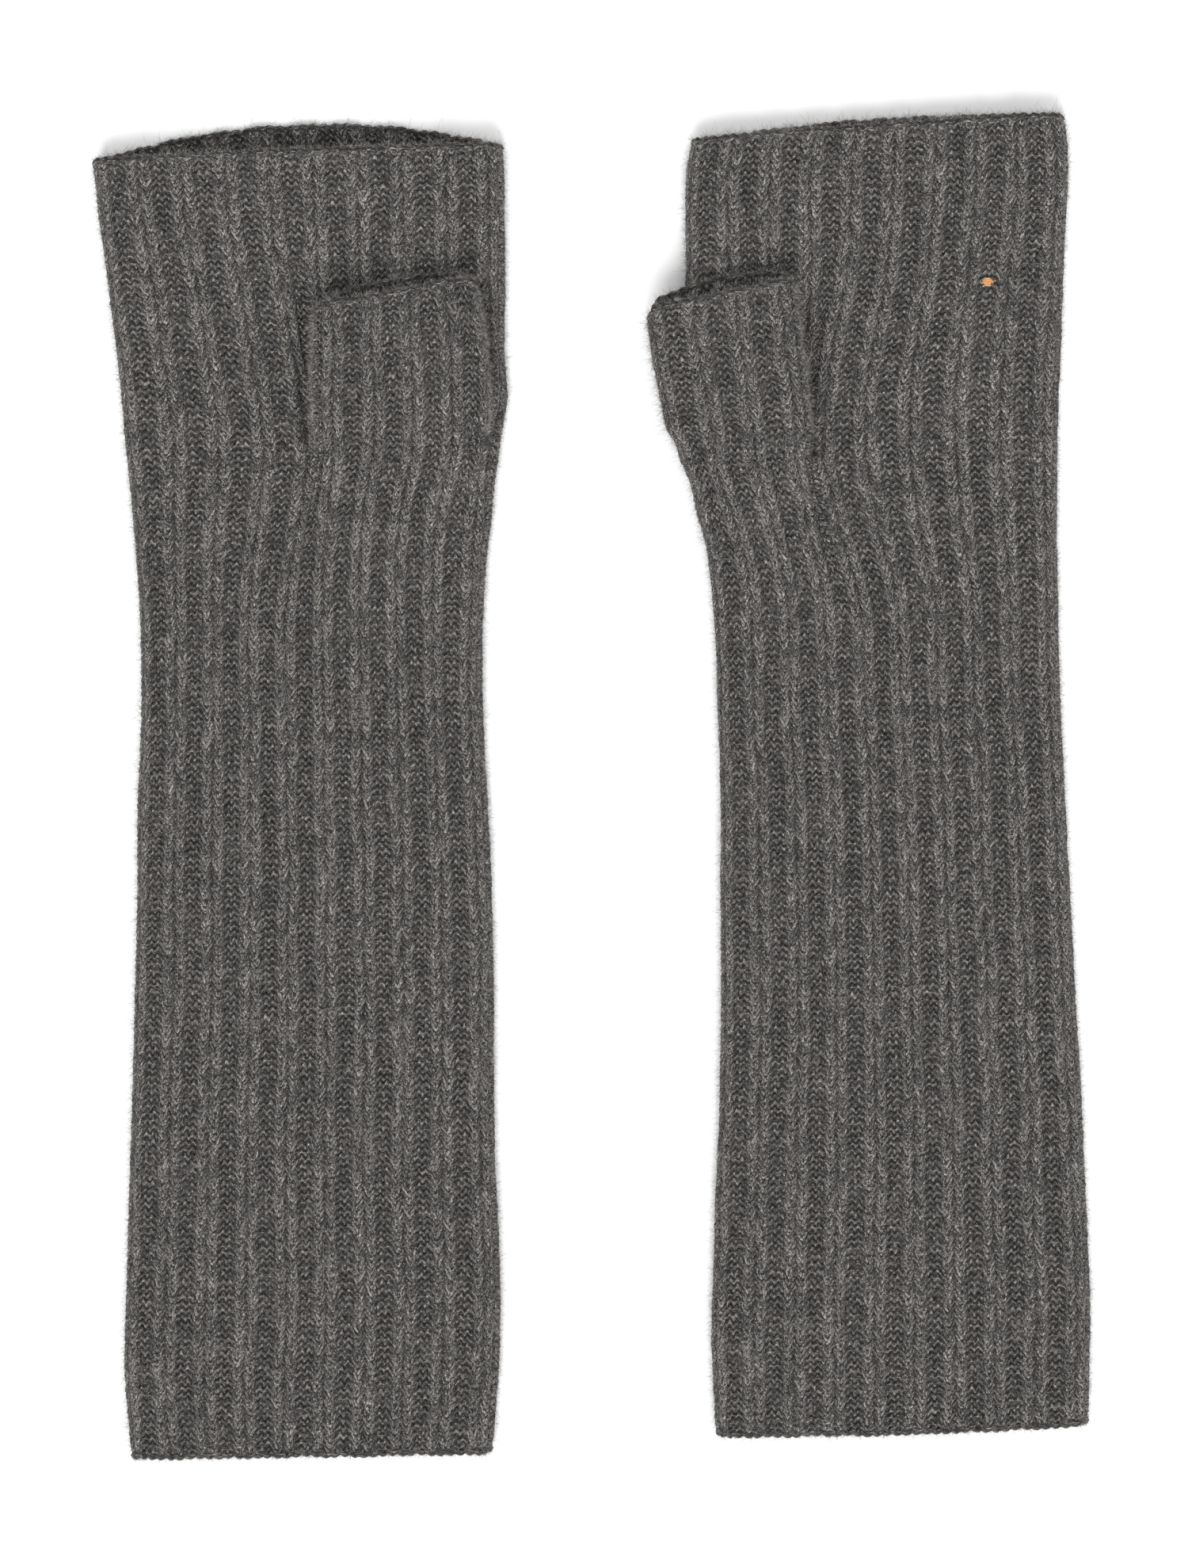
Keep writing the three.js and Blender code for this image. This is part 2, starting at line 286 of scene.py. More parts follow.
def wale_at(column):
    """The wale that a grid column lies in, with its place in that wale. Knit wales are wider than purl ones."""
    rib, place = np.divmod(np.asarray(column) / (RIB * COLUMNS_PER_WALE), 1)
    knit_share = KNIT_WALE / (KNIT_WALE + PURL_WALE)
    purl = (place - knit_share) / (1 - knit_share)
    return RIB * rib + RIB / 2 * np.where(place < knit_share, place / knit_share, 1 + purl)


def knit_relief(u, v):
    """Height of the two legs of each knit stitch, in yarn radii. They stand in a V with its point down."""
    from_middle = np.abs(u % 1 - 0.5)
    height = np.full(u.shape, -GAP_DEPTH)
    for neighbour in (-1, 0, 1):
        t = v % 1 + neighbour
        across = (from_middle - LEG_FOOT - LEG_LEAN * t) * KNIT_WALE * math.cos(LEG_ANGLE) / KNIT_RADIUS
        crown = np.sqrt(np.clip(1 - across**2, 0, 1)) - 0.55 * (t - 0.45) - 6 * np.maximum(0, 0.08 - t) ** 2
        height = np.where(np.abs(across) < 1, np.maximum(height, crown), height)
    return height


def purl_relief(u, v):
    """Height of the purl courses, in yarn radii. Their loops' heads and feet lie across in waves."""
    wave = PURL_WAVE * np.cos(2 * math.pi * (u - 0.5))
    beads = PURL_BEAD * np.cos(4 * math.pi * u) - PURL_SINK
    height = np.full(u.shape, -GAP_DEPTH)
    for neighbour in (-1, 0, 1):
        across = (v % 1 + neighbour - 0.5 - wave) * COURSE / PURL_RADIUS
        crown = np.sqrt(np.clip(1 - across**2, 0, 1)) + beads
        height = np.where(np.abs(across) < 1, np.maximum(height, crown), height)
    return height


def rib_relief(u, v, tension=1.0, edge=1.0):
    """Height of the rib fabric over its own middle, seen from one face."""
    swing = np.cos(2 * math.pi * (u - 1) / RIB)
    rib = 0.5 + 0.5 * np.tanh(1.7 * swing) / math.tanh(1.7)
    stitches = np.where(u % RIB < RIB / 2, knit_relief(u, v), purl_relief(u, v))
    return (RIB_DEPTH * rib - 0.12 * MM) * edge + YARN_RADIUS * stitches * tension * (0.55 + 0.45 * edge)


def edge_factor(courses_in, least=0.7):
    """How much of the rib's depth is left near an edge."""
    return least + (1 - least) * smoothstep(courses_in / EDGE_TAPER)


# ---- Meshes ------------------------------------------------------------------------------

def new_mesh_object(name, vertices, faces, materials, uvs=None):
    """A smooth mesh of quads and triangles. uvs maps a layer's name to one pair for each corner."""
    mesh = bpy.data.meshes.new(name)
    counts = np.array([len(block[0]) for block in faces for _ in range(len(block))], dtype=np.int32)
    corners = np.concatenate([np.asarray(block, dtype=np.int32).ravel() for block in faces])
    mesh.vertices.add(len(vertices))
    mesh.vertices.foreach_set("co", np.asarray(vertices, dtype=np.float32).ravel())
    mesh.loops.add(len(corners))
    mesh.loops.foreach_set("vertex_index", corners)
    mesh.polygons.add(len(counts))
    starts = np.concatenate([[0], np.cumsum(counts)[:-1]]).astype(np.int32)
    mesh.polygons.foreach_set("loop_start", starts)
    mesh.polygons.foreach_set("loop_total", counts)
    mesh.update(calc_edges=True)
    mesh.polygons.foreach_set("use_smooth", np.ones(len(counts), dtype=bool))
    for layer_name, values in (uvs or {}).items():
        layer = mesh.uv_layers.new(name=layer_name)
        layer.data.foreach_set("uv", np.asarray(values, dtype=np.float32).ravel())
    mesh.validate(clean_customdata=False)
    for material in materials:
        mesh.materials.append(material)
    piece = bpy.data.objects.new(name, mesh)
    bpy.context.scene.collection.objects.link(piece)
    return piece


class Skin:
    """Collects the grids of one knitted piece into a single closed mesh."""

    def __init__(self):
        self.vertices, self.faces, self.stitches, self.bakes = [], [], [], []
        self.count = 0

    def add_points(self, points):
        """Adds an array of points and returns their numbers, in the same shape."""
        flat = points.reshape(-1, 3)
        numbers = np.arange(self.count, self.count + len(flat)).reshape(points.shape[:-1])
        self.vertices.append(flat)
        self.count += len(flat)
        return numbers

    def add_band(self, numbers, u, v, bake, closed=True, flip=False):
        """Quads between the rows of a grid of numbers. u and v are its stitch places, and bake its place in the baked map."""
        if closed:
            numbers = np.concatenate([numbers, numbers[:, :1]], axis=1)
        corners = [(0, 0), (0, 1), (1, 1), (1, 0)]
        if flip:
            corners.reverse()
        rows, columns = numbers.shape
        take = lambda grid: np.stack([grid[i:rows - 1 + i, j:columns - 1 + j] for i, j in corners], axis=-1)
        self.faces.append(take(numbers).reshape(-1, 4))
        self.stitches.append(np.stack([take(u), take(v)], axis=-1).reshape(-1, 2))
        across = np.broadcast_to(np.linspace(bake[0], bake[1], columns), (rows, columns))
        up = np.broadcast_to(np.linspace(bake[2], bake[3], rows)[:, None], (rows, columns))
        self.bakes.append(np.stack([take(across), take(up)], axis=-1).reshape(-1, 2))

    def build(self, name, materials):
        uvs = {"OFBake": np.concatenate(self.bakes), "stitch": np.concatenate(self.stitches)}
        return new_mesh_object(name, np.concatenate(self.vertices), [np.concatenate(self.faces)], materials, uvs)


def closed_columns(values, period):
    """A grid of values with its first column repeated one period further on."""
    return np.concatenate([values, values[:, :1] + period], axis=1)


# ---- The hand and forearm ----------------------------------------------------------------

class Glove:
    """The measured form and the stitch grid of one glove."""

    def __init__(self, side, seed):
        self.side = side
        self.rng = np.random.default_rng(seed)
        self.thumb_wales = THUMB_WALES[side]
        self.measure()
        self.lay_out_grid()
        self.lift_gusset()

    def node(self, name):
        return f"{self.side}_{name}"

    def measure(self):
        tube = [self.node("forearm_tube"), self.node("hand_tube")]
        arm_low, arm_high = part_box(self.node("cast_on_edge"))
        finger_low, finger_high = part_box(self.node("finger_bind_off"))
        forearm_low, forearm_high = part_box(tube[0])
        self.bottom = forearm_low.z
        self.level = (forearm_low.z + forearm_high.z) / 2
        away_from_thumb = -1 if self.side == "left" else 1
        self.outline = measure_outline(
            tube, arm_high.y + END_MARGIN, finger_low.y - END_MARGIN, self.level, away_from_thumb)
        thumb_low, thumb_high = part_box(self.node("thumb_tube"))
        self.thumb_low, self.thumb_high = thumb_low, thumb_high
        self.crotch = thumb_low.y
        thumb_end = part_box(self.node("thumb_bind_off"))[0].y
        self.thumb_outline = measure_outline(
            [self.node("thumb_tube")], thumb_low.y + MM, thumb_end - END_MARGIN, (thumb_low.z + thumb_high.z) / 2, 0)
        self.wrist = next(j for j in frame["joints"] if j["name"] == self.node("wrist_bend"))["pos_m"][1]
        self.columns = WALES * COLUMNS_PER_WALE
        self.half_rib = RIB * COLUMNS_PER_WALE // 2  # between an outer rib and the next inner one, in columns

    def end_points(self, y, node, towards):
        """Where the last course lies round one end of the tube."""
        left, right, top = outline_at(self.outline, y)
        q = np.arange(self.columns) / self.columns
        wall = SKIN_DEPTH
        x, z = flattened_section(q, left + wall, right - wall, self.bottom + wall, top - wall)
        reach = end_line(node, x, z, towards) - towards * CHAIN_REACH
        upper, lower = MOUTH[self.side][:2] if towards > 0 else CAST_ON_BOW[self.side]
        return reach + towards * mouth_shift(x, z, left, right, (self.bottom + top) / 2, upper, lower)

    def lay_out_grid(self):
        """The plain flattened tube, without the gusset."""
        arm = self.end_points(self.outline["y"][0], self.node("cast_on_edge"), -1)
        finger = self.end_points(self.outline["y"][-1], self.node("finger_bind_off"), 1)
        self.courses = round(float(np.mean(finger - arm)) / COURSE)
        rows = self.courses * ROWS_PER_COURSE + 1
        share = np.linspace(0, 1, rows)[:, None]
        y = arm[None, :] + share * (finger - arm)[None, :]
        left, right, top = outline_at(self.outline, y)
        q = np.arange(self.columns) / self.columns
        ripple = SmoothNoise(self.rng, 14, 26)
        swell = SmoothNoise(self.rng, 7, 12)
        q_grid = np.broadcast_to(q, y.shape)
        share_grid = np.broadcast_to(share, y.shape)
        edge_wave = 0.35 * MM * swell.at(q_grid, share_grid)
        left = left - eased_table(SWELL[self.side], 1, y)
        right = right + eased_table(SWELL[self.side], 2, y)
        x, z = flattened_section(q_grid, left - edge_wave, right + edge_wave, self.bottom, top)
        lift = 0.30 * MM * ripple.at(q_grid, share_grid) * smoothstep((z - self.bottom) / (4 * MM))
        self.plain = np.stack([x, y, z + lift - 0.15 * MM * (z > self.level)], axis=-1)
        self.u = np.broadcast_to(wale_at(np.arange(self.columns)), y.shape)
        self.inner_u = np.broadcast_to(wale_at(np.arange(self.columns) + self.half_rib), y.shape)
        self.v = np.broadcast_to(share * self.courses, y.shape)
        self.q_grid, self.share_grid = q_grid, share_grid

    def thumb_section(self, q, y):
        left, right, _ = outline_at(self.thumb_outline, y)
        left = left - eased_table(THUMB_SWELL[self.side], 1, y)
        right = right + eased_table(THUMB_SWELL[self.side], 2, y)
        return flattened_section(q, left, right, self.thumb_low.z, self.thumb_high.z)

    def keep_to_fold(self, sheet):
        """Draws the gusset's folded edge in to its line."""
        if self.side == "left":
            return
        line = np.array(GUSSET_FOLD) * MM
        near = np.minimum(np.arange(self.columns), self.columns - np.arange(self.columns)) / COLUMNS_PER_WALE
        weight = 1 - smoothstep(near / FOLD_TAIL)
        fold = sheet[:, near < 3, 0].min(axis=1)
        past = np.maximum(0, np.interp(sheet[:, 0, 1], line[:, 0], line[:, 1]) - fold)
        sheet[:, :, 0] += past[:, None] * weight

    def lift_gusset(self):
        """Raises the fabric below the thumb's slit until it meets the thumb's front."""
        row_y = self.plain[:, :self.columns // 2, 1].mean(axis=1)
        course = round(int(np.argmin(np.abs(row_y - self.crotch))) / ROWS_PER_COURSE)
        self.slit_row = course * ROWS_PER_COURSE
        slit = self.plain[self.slit_row]
        left, right, _ = outline_at(self.thumb_outline, self.crotch)
        half = self.columns // 2
        thumb_middle = int(np.argmin(np.abs(slit[:half, 0] - (left + right) / 2)))
        first = thumb_middle - self.thumb_wales * COLUMNS_PER_WALE // 2
        spare = half - self.thumb_wales * COLUMNS_PER_WALE - COLUMNS_PER_WALE
        self.first_wale = int(np.clip(round(first / COLUMNS_PER_WALE), 0, spare // COLUMNS_PER_WALE))
        self.slit_columns = np.arange(self.thumb_wales * COLUMNS_PER_WALE + 1) + self.first_wale * COLUMNS_PER_WALE
        w = np.linspace(0, 1, len(self.slit_columns))
        x, z = self.thumb_section(w / 2, self.crotch)
        hand_top = slit[thumb_middle, 2]
        inset = 0.8 * MM
        corners = np.array([[left + inset, hand_top], [right - inset, hand_top]])
        self.dome = np.stack([x, z], axis=-1)
        for corner, nearness in ((corners[0], (1 - w) ** 7), (corners[1], w ** 7)):
            end = self.dome[0 if nearness[0] == 1 else -1].copy()
            self.dome += nearness[:, None] * (corner - end)
        lip = slit[self.slit_columns][:, [0, 2]]
        pulls = corners - lip[[0, -1]]
        pull = np.zeros((self.columns, 2))
        steps = np.arange(self.columns)
        fold_first = self.slit_columns[0] < half - self.slit_columns[-1]
        tails = (FOLD_TAIL, PALM_TAIL) if fold_first else (PALM_TAIL, FOLD_TAIL)
        for column, amount, tail in zip(self.slit_columns[[0, -1]], pulls, tails):
            distance = np.abs((steps - column + half) % self.columns - half) / COLUMNS_PER_WALE
            pull[:, 0] += (1 - smoothstep(distance / tail)) * amount[0]
            pull[:, 1] += (1 - smoothstep(distance / FOLD_TAIL)) * amount[1]
        lift = pull.copy()
        lift[self.slit_columns] = self.dome - lip
        short = ((1 - w) ** 7)[:, None] * pulls[0] + (w ** 7)[:, None] * pulls[1]
        pull[self.slit_columns] = short
        self.lower = self.plain[:self.slit_row + 1].copy()
        below = slit[:, 1] - self.lower[:, :, 1]
        first, last = self.slit_columns[[0, -1]]
        palmward = np.clip((steps - first) / (last - first), 0, 1)
        palmward = palmward if fold_first else 1 - palmward
        palmward[half:] = 0
        swing = 1 - smoothstep(below / (GUSSET_SPREAD + palmward * (GUSSET_LENGTH - GUSSET_SPREAD)))
        climb = 1 - smoothstep(below / GUSSET_LENGTH)
        self.lower[:, :, 0] += swing * lift[:, 0]
        soft = smoothstep(below / GUSSET_SOFTEN)
        rise = np.zeros(self.columns)
        rise[self.slit_columns] = lift[:, 1].max() * np.sin(math.pi * w) ** 1.3
        self.lower[:, :, 2] += climb * ((1 - soft) * lift[:, 1] + soft * rise)
        self.keep_to_fold(self.lower)
        self.upper = self.plain[self.slit_row:].copy()
        relax_length = CROTCH_RELAX + smoothstep((palmward - 0.5) * 2) * (PALM_RELAX - CROTCH_RELAX)
        relax = 1 - smoothstep((self.upper[:, :, 1] - slit[:, 1]) / relax_length)
        self.upper[:, :, [0, 2]] += relax[:, :, None] * pull
        self.keep_to_fold(self.upper)
        self.upper[:, :, 2] -= self.thumb_hollow(self.upper, slit)
        self.ring = self.lower[-1][self.slit_columns].copy()
        self.blend_start = float(self.ring[:, 1].max())

    def thumb_hollow(self, sheet, slit):
        """How far the thumb presses into the hand's upper layer, most of all in a groove along each side of it."""
        x, y, z = sheet[:, :, 0], sheet[:, :, 1], sheet[:, :, 2]
        left, right, _ = outline_at(self.thumb_outline, y)
        grooves = sum(np.exp(-((x - fold) / (2.8 * MM)) ** 2) for fold in (left - 0.9 * MM, right + 0.9 * MM))
        under = smoothstep((x - left) / (5 * MM) + 0.5) * smoothstep((right - x) / (5 * MM) + 0.5)
        past_crotch = smoothstep((y - slit[:, 1]) / (7 * MM))
        past_end = smoothstep((y - self.thumb_outline["y"][-2]) / (22 * MM))
        above = smoothstep((z - self.level) / (2 * MM))
        return np.minimum(2.6 * grooves + 1.5 * under, 2.9) * MM * past_crotch * (1 - past_end) * above

    def wander(self, u, v, period, courses):
        """Stitch places with the small unevenness of knitting."""
        s, t = u / period, (v - v.min()) / courses
        slow_u = SmoothNoise(self.rng, 10, max(3, courses // 9))
        slow_v = SmoothNoise(self.rng, 10, max(3, courses // 14))
        quick_u = SmoothNoise(self.rng, period, courses)
        quick_v = SmoothNoise(self.rng, period, courses)
        u_new = u + 0.12 * slow_u.at(s, t) + 0.09 * quick_u.at(s, t)
        v_new = v + 0.4 * slow_v.at(s, t) + 0.17 * quick_v.at(s, t)
        return u_new, v_new

    def tension(self, u, v, period, courses):
        """A factor on each stitch's height."""
        return 1 + 0.25 * SmoothNoise(self.rng, period, courses).at(u / period, (v - v.min()) / courses)


def coarse_rows(rows, fine_at_start, fine_at_end):
    """Row numbers for an inner face: every row near an open end, and one in each course elsewhere."""
    fine = FINE_INNER_COURSES * ROWS_PER_COURSE
    kept = set(range(0, rows, ROWS_PER_COURSE)) | {rows - 1}
    if fine_at_start:
        kept |= set(range(min(fine, rows)))
    if fine_at_end:
        kept |= set(range(max(0, rows - fine), rows))
    return np.array(sorted(kept))


def build_tube(glove, materials):
    """The hand and forearm as one closed knitted wall, open at the arm, the fingers and the thumb's slit."""
    skin = Skin()
    u, v = glove.wander(glove.u, glove.v, WALES, glove.courses)
    tension = glove.tension(glove.u, glove.v, WALES, glove.courses)
    edge = edge_factor(glove.v) * edge_factor(glove.courses - glove.v)
    outer_relief = rib_relief(u, v, tension, edge)
    inner_u = glove.inner_u + u - glove.u
    inner_relief = rib_relief(inner_u, v, tension, edge)
    slit, last = glove.slit_row, len(glove.plain) - 1
    inside_slit = np.zeros(glove.columns, dtype=bool)
    inside_slit[glove.slit_columns[1:-1]] = True

    def faces_of(sheet, rows):
        normals, crease = settled_normals(sheet)
        flattened = (1 - 0.8 * crease)[:, :, None] * normals
        middle = sheet - SKIN_DEPTH * normals
        outer = middle + outer_relief[rows][:, :, None] * flattened
        inner = middle - inner_relief[rows][:, :, None] * flattened
        return outer, inner

    lower_outer, lower_inner = faces_of(glove.lower, slice(0, slit + 1))
    upper_outer, upper_inner = faces_of(glove.upper, slice(slit, last + 1))
    glove.lip_outer, glove.lip_inner = lower_outer[-1][glove.slit_columns], lower_inner[-1][glove.slit_columns]
    glove.arm_rim, glove.finger_rim = (lower_outer[0] + lower_inner[0]) / 2, (upper_outer[-1] + upper_inner[-1]) / 2

    def sheets(lower, upper, lower_rows, upper_rows):
        lower_numbers = skin.add_points(lower[lower_rows])
        upper_numbers = skin.add_points(upper[upper_rows])
        upper_numbers[0] = np.where(inside_slit, upper_numbers[0], lower_numbers[-1])
        return lower_numbers, upper_numbers

    every_lower, every_upper = np.arange(slit + 1), np.arange(last - slit + 1)
    outer = sheets(lower_outer, upper_outer, every_lower, every_upper)
    lower_rows, upper_rows = coarse_rows(slit + 1, True, False), coarse_rows(last - slit + 1, False, True)
    inner = sheets(lower_inner, upper_inner, lower_rows, upper_rows)
    split = 0.98 * slit / last
    u_closed, v_closed = closed_columns(u, WALES), closed_columns(v, 0)
    inner_closed = closed_columns(inner_u, WALES)
    skin.add_band(outer[0], u_closed[:slit + 1], v_closed[:slit + 1], (0, 0.58, 0, split))
    skin.add_band(outer[1], u_closed[slit:], v_closed[slit:], (0, 0.58, split, 0.98))
    skin.add_band(inner[0], inner_closed[lower_rows], v_closed[lower_rows], (0.6, 1, 0, split), flip=True)
    upper_rows = upper_rows + slit
    skin.add_band(inner[1], inner_closed[upper_rows], v_closed[upper_rows], (0.6, 1, split, 0.98), flip=True)

    def rim(first, second, row, columns, bake):
        numbers = np.stack([first, second])
        closed = columns is None
        u_row = u_closed[row] if closed else u[row][columns]
        v_row = v_closed[row] if closed else v[row][columns]
        skin.add_band(numbers, np.stack([u_row] * 2), np.stack([v_row, v_row + 0.5]), bake, closed=closed)

    rim(inner[0][0], outer[0][0], 0, None, (0, 0.5, 0.981, 0.985))
    rim(outer[1][-1], inner[1][-1], last, None, (0, 0.5, 0.986, 0.99))
    lips = glove.slit_columns
    rim(outer[0][-1][lips], inner[0][-1][lips], slit, lips, (0.5, 0.7, 0.981, 0.985))
    rim(inner[1][0][lips], outer[1][0][lips], slit, lips, (0.5, 0.7, 0.986, 0.99))
    glove.tube_skin = np.concatenate([lower_outer, upper_outer[1:]])
    glove.tube_normals = np.concatenate([grid_normals(glove.lower), grid_normals(glove.upper)[1:]])
    glove.slit_u, glove.slit_v = u[slit], v[slit]
    return skin.build(glove.node("rib_tube"), materials)


# ---- The thumb ---------------------------------------------------------------------------

def build_thumb(glove, materials):
    """The thumb's closed knitted wall. Its front grows out of the gusset, and its back out of the hand's upper layer."""
    skin = Skin()
    lips = glove.slit_columns
    front, back = glove.ring, glove.upper[0][lips][::-1]
    ring = np.concatenate([front[:-1], back[:-1]])
    columns = len(ring)
    wales = 2 * glove.thumb_wales
    q = np.arange(columns) / columns
    end_y = glove.thumb_outline["y"][-1]
    wall = SKIN_DEPTH
    left, right, _ = outline_at(glove.thumb_outline, end_y)
    x, z = flattened_section(q, left + wall, right - wall, glove.thumb_low.z + wall, glove.thumb_high.z - wall)
    end = end_line(glove.node("thumb_bind_off"), x, z, 1) - CHAIN_REACH
    end += mouth_shift(x, z, left, right, (glove.thumb_low.z + glove.thumb_high.z) / 2, *MOUTH[glove.side][2:])
    for corner, fold, inwards in zip(THUMB_CORNERS[glove.side], (left, right), (1, -1)):
        end -= corner * MM * np.exp(-((x - fold) * inwards / (3.6 * MM)) ** 2)
    courses = round(float(np.mean(end - ring[:, 1])) / COURSE)
    rows = courses * ROWS_PER_COURSE + 1
    share = np.linspace(0, 1, rows)[:, None]
    y = ring[None, :, 1] + share * (end - ring[:, 1])[None, :]
    q_grid = np.broadcast_to(q, y.shape)
    x, z = glove.thumb_section(q_grid, y)
    settle = smoothstep((y - ring[None, :, 1]) / THUMB_SETTLE)
    x = ring[None, :, 0] + settle * (x - ring[None, :, 0])
    z = ring[None, :, 2] + settle * (z - ring[None, :, 2])
    base = np.stack([x, y, z], axis=-1)
    steps = lips[0] + np.arange(columns)
    first_u = wale_at(lips[0])
    u = np.broadcast_to(wale_at(steps), y.shape)
    v = np.broadcast_to(glove.slit_row / ROWS_PER_COURSE + share * courses, y.shape)
    u_new, v_new = glove.wander(u - first_u, v, wales, courses)
    u_new = u_new + first_u
    front_columns = len(front) - 1
    from_front = np.maximum(0, np.minimum(np.arange(columns) - front_columns, columns - np.arange(columns)))
    meet = (1 - smoothstep(share * courses / 4)) * (1 - smoothstep(from_front / COLUMNS_PER_WALE))
    hand_u = first_u - 1 + ((glove.slit_u[lips] - first_u + 1) % WALES)
    match_u = np.concatenate([hand_u, np.full(columns - len(lips), 0.0)])
    match_v = np.concatenate([glove.slit_v[lips], np.full(columns - len(lips), 0.0)])
    u_new = u_new + meet * (match_u[None] - u_new[:1])
    v_new = v_new + meet * (match_v[None] - v_new[:1])
    inner_u = u_new + wale_at(steps + glove.half_rib) - u
    tension = glove.tension(u - first_u, v, wales, courses)
    normals = grid_normals(base)
    middle = base - SKIN_DEPTH * normals
    edge = edge_factor(courses * (1 - share))
    outer = middle + rib_relief(u_new, v_new, tension, edge)[:, :, None] * normals
    inner = middle - rib_relief(inner_u, v_new, tension, edge)[:, :, None] * normals
    fade = 1 - smoothstep(np.arange(rows) / (2 * ROWS_PER_COURSE))[:, None, None]
    for face, lip in ((outer, glove.lip_outer), (inner, glove.lip_inner)):
        face[:, :len(lip)] += fade * (lip - face[0, :len(lip)])
    inner_rows = coarse_rows(rows, False, True)
    outer_numbers = skin.add_points(outer)
    inner_numbers = skin.add_points(inner[inner_rows])
    u_closed, v_closed = closed_columns(u_new, wales), closed_columns(v_new, 0)
    skin.add_band(outer_numbers, u_closed, v_closed, (0, 0.98, 0, 0.55))
    inner_closed = closed_columns(inner_u, wales)
    skin.add_band(inner_numbers, inner_closed[inner_rows], v_closed[inner_rows], (0, 0.98, 0.57, 0.95), flip=True)
    for row, first, second, bake in (
        (0, inner_numbers[0], outer_numbers[0], (0, 0.98, 0.955, 0.965)),
        (-1, outer_numbers[-1], inner_numbers[-1], (0, 0.98, 0.97, 0.98)),
    ):
        rim_v = np.stack([v_closed[row], v_closed[row] + 0.5])
        skin.add_band(np.stack([first, second]), np.stack([u_closed[row]] * 2), rim_v, bake)
    glove.thumb_rim = (outer[-1] + inner[-1]) / 2
    glove.thumb_skin, glove.thumb_normals = outer, normals
    return skin.build(glove.node("rib_thumb"), materials)


# ---- Edge chains -------------------------------------------------------------------------

def build_chain(name, rim, towards, rng, materials, wales):
    """A chain of edge stitches that runs round an opening's last course. Every second one stands out a little."""
    steps = 20
    turn = np.arange(steps) / steps * 2 * math.pi
    tangent = np.roll(rim, -1, axis=0) - np.roll(rim, 1, axis=0)
    tangent /= np.linalg.norm(tangent, axis=1, keepdims=True)
    forward = np.zeros_like(rim)
    forward[:, 1] = towards
    forward -= (forward * tangent).sum(axis=1, keepdims=True) * tangent
    forward /= np.linalg.norm(forward, axis=1, keepdims=True)
    side = np.cross(forward, tangent) * towards
    along = np.arange(len(rim)) / len(rim) * wales
    # The links' Vs lie along the edge. One row of them shows on the outer face, and one on the inner.
    u = np.broadcast_to((turn / math.pi + 0.35)[None] % 2 % 1, (len(rim), steps))
    v = np.broadcast_to(along[:, None], u.shape)
    links = knit_relief(u, v)
    radius = CHAIN_RADIUS + 0.8 * YARN_RADIUS * links
    loose = SmoothNoise(rng, wales, 1).at(along / wales, np.zeros(len(rim)))
    reach = 0.5 * np.abs(np.sin(math.pi * along)) - 0.25 + 0.25 * loose
    centre = rim + forward * reach[:, None] * MM
    ring = (forward[:, None] * np.cos(turn)[None, :, None] + side[:, None] * np.sin(turn)[None, :, None] * 1.15)
    points = centre[:, None] + ring * radius[:, :, None]
    points[:, :, 2] = np.maximum(points[:, :, 2], 0.02 * MM)
    skin = Skin()
    numbers = skin.add_points(points)
    numbers = np.concatenate([numbers, numbers[:1]], axis=0)
    u_closed = np.concatenate([u, u[:1]], axis=0)
    u_closed = np.concatenate([u_closed, u_closed[:, :1]], axis=1)
    v_closed = np.concatenate([v, v[:1] + wales], axis=0)
    v_closed = np.concatenate([v_closed, v_closed[:, :1]], axis=1)
    skin.add_band(numbers, u_closed, v_closed, (0, 1, 0, 1), flip=towards < 0)
    return skin.build(name, materials)


# ---- Fuzz --------------------------------------------------------------------------------

